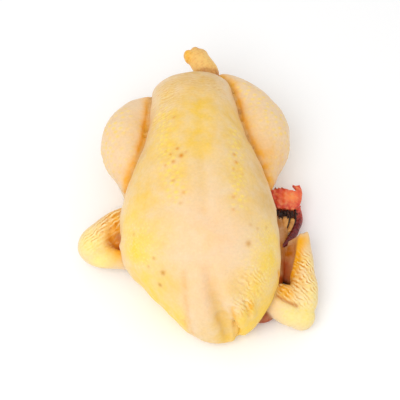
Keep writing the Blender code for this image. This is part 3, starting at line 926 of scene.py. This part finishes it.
beak_upper = limb(
    "beak_upper",
    ((80, -12.5, 17.5, 4.4, 3.8), (79.6, -17, 18.6, 4.2, 3.6), (78.6, -23, 17.5, 2.8, 2.8),
    (77.6, -28, 15.5, 1.5, 1.5), (77.3, -30, 14.5, 0.6, 0.6)),
)
beak_lower = limb(
    "beak_lower",
    ((87, -14, 16.8, 2.8, 2.8), (86, -18, 17.4, 2.7, 2.7), (83.5, -24, 16.3, 2, 2),
    (80.8, -28, 14.8, 1, 1), (80, -29.5, 14, 0.5, 0.5)),
)
horn, shader = new_material("beak_horn")
own = add_node(horn, "ShaderNodeTexCoord")
along = add_node(horn, "ShaderNodeSeparateXYZ", {}, {"Vector": (own, "Object")})
layers = noise(horn, 4.0)
colour = flat(horn, "#dda050")
colour = blend(horn, colour, ranged(horn, layers, "Fac", 0.4, 0.7, 0.0, 0.7), "#b06a28")
colour = blend(horn, colour, ranged(horn, along, "Y", -0.026, -0.030, 0.0, 0.8), "#3a2013")
colour = blend(horn, colour, ranged(horn, along, "Y", -0.016, -0.013, 0.0, 0.9), "#4c2214")
horn.node_tree.links.new(colour[0].outputs[colour[1]], shader.inputs["Base Color"])
shader.inputs["Roughness"].default_value = 0.38
for piece in (beak_upper, beak_lower):
    piece.data.materials.append(horn)

wattle = melt(
    "wattle",
    [
        limb("wattle_top", ((91, 1, 14, 4, 3.5), (92.5, -8, 14, 4.3, 3.5), (92.3, -15, 13.5, 4.4, 3.4),
        (89, -23, 13.5, 4.2, 3))),
        limb("wattle_end", ((91, -18, 13.5, 4, 3), (87, -28, 14, 3.6, 2.8), (80.5, -37, 16.5, 2.8, 2.2),
        (74, -43, 18, 1, 1))),
        limb("wattle_fold", ((94, -6, 15, 1.8, 2.6), (94.5, -14, 15, 1.8, 2.6), (90, -25, 15, 1.8, 2.4))),
        limb("nodule_front", ((94.5, -0.5, 15, 1.6, 1.8), (96, -2, 15, 1.4, 1.6)), 16, 12),
        limb("nodule_rear", ((92.5, 1, 16, 1.5, 1.8), (94, 0.5, 16, 1.3, 1.6)), 16, 12),
    ],
    0.6,
    3,
)
where = vertices(wattle) / MM
ripple = 0.45 * np.sin(where[:, 1] * 1.9 + where[:, 0] * 0.9) * np.sin(where[:, 0] * 1.3)
put_vertices(wattle, (where + np.stack([0 * ripple, 0 * ripple, np.where(where[:, 2] > 13, ripple, 0)],
    1)) * MM)
paint(wattle, "raw", np.exp(-(((where[:, 1] - 0) / 9) ** 2)))
wattle_skin, shader = new_material("wattle_skin")
own = add_node(wattle_skin, "ShaderNodeTexCoord")
along = add_node(wattle_skin, "ShaderNodeSeparateXYZ", {}, {"Vector": (own, "Object")})
wrinkles = noise(wattle_skin, 2.0)
colour = flat(wattle_skin, "#d8472a")
colour = blend(wattle_skin, colour, ranged(wattle_skin, along, "Y", -0.004, -0.020, 0.0, 1.0), "#7c1e22")
colour = blend(wattle_skin, colour, ranged(wattle_skin, wrinkles, "Fac", 0.42, 0.7, 0.0, 0.75), "#3c0d12")
raw = (add_node(wattle_skin, "ShaderNodeAttribute", {"attribute_name": "raw"}), "Fac")
colour = blend(wattle_skin, colour, times(wattle_skin, raw,
    ranged(wattle_skin, wrinkles, "Fac", 0.35, 0.6, 0.9, 0.3)), "#e04a2c")
wattle_skin.node_tree.links.new(colour[0].outputs[colour[1]], shader.inputs["Base Color"])
bump = add_node(wattle_skin, "ShaderNodeBump", {"Strength": 0.5, "Distance": 0.5 * MM},
    {"Height": (wrinkles, "Fac")})
wattle_skin.node_tree.links.new(bump.outputs["Normal"], shader.inputs["Normal"])
shader.inputs["Roughness"].default_value = 0.36
shader.inputs["Subsurface Weight"].default_value = 0.1
shader.inputs["Subsurface Scale"].default_value = 1.5 * MM
wattle.data.materials.append(wattle_skin)
for piece, slot in (
    (face, "comb"),
    (comb, "comb"),
    (stubs, "feathers"),
    (beak_upper, "beak"),
    (beak_lower, "beak"),
    (wattle, "wattle"),
):
    bpy.ops.object.select_all(action="DESELECT")
    piece.select_set(True)
    bpy.context.view_layer.objects.active = piece
    bpy.ops.object.shade_smooth()
    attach(piece, "root")
    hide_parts("chicken")

# The setting: a pale surface, soft white light and a camera looking down on the breast.
bpy.ops.object.select_all(action="DESELECT")
bpy.ops.mesh.primitive_plane_add(size=6.0)
floor = bpy.context.object
floor.name = "floor"
white = bpy.data.materials.new("white_table")
white.use_nodes = True
white.node_tree.nodes["Principled BSDF"].inputs["Base Color"].default_value = (1.0, 1.0, 1.0, 1)
white.node_tree.nodes["Principled BSDF"].inputs["Roughness"].default_value = 0.7
floor.data.materials.append(white)

world = bpy.data.worlds.new("studio")
bpy.context.scene.world = world
world.use_nodes = True
world.node_tree.nodes["Background"].inputs["Color"].default_value = (1, 1, 1, 1)
world.node_tree.nodes["Background"].inputs["Strength"].default_value = 0.84
bpy.context.scene.view_settings.view_transform = "Standard"


def soft_box(name, place, size, power):
    """A white panel light that faces the bird."""
    bpy.ops.object.light_add(type="AREA", location=place)
    lamp = bpy.context.object
    lamp.name = name
    lamp.data.shape = "SQUARE"
    lamp.data.size = size
    lamp.data.energy = power
    lamp.rotation_mode = "QUATERNION"
    lamp.rotation_quaternion = Vector(place).to_track_quat("Z", "Y")


soft_box("front_light", (-0.40, -0.50, 1.0), 0.8, 4.6)

CAMERA_HEIGHT_ANGLE = math.radians(62)
CAMERA_TURN = math.radians(-3.5)
CAMERA_DISTANCE = 1.0
LOOK_AT = Vector((0, 0, 0.045))
toward_camera = Vector(
    (
        math.sin(CAMERA_TURN) * math.cos(CAMERA_HEIGHT_ANGLE),
        -math.cos(CAMERA_TURN) * math.cos(CAMERA_HEIGHT_ANGLE),
        math.sin(CAMERA_HEIGHT_ANGLE),
    )
)
bpy.ops.object.camera_add(location=LOOK_AT + toward_camera * CAMERA_DISTANCE)
camera = bpy.context.object
camera.rotation_mode = "QUATERNION"
camera.rotation_quaternion = toward_camera.to_track_quat("Z", "Y")
camera.data.lens = 100
camera.data.sensor_width = 36
camera.data.shift_x = 0.0075
camera.data.shift_y = -0.01
bpy.context.scene.camera = camera
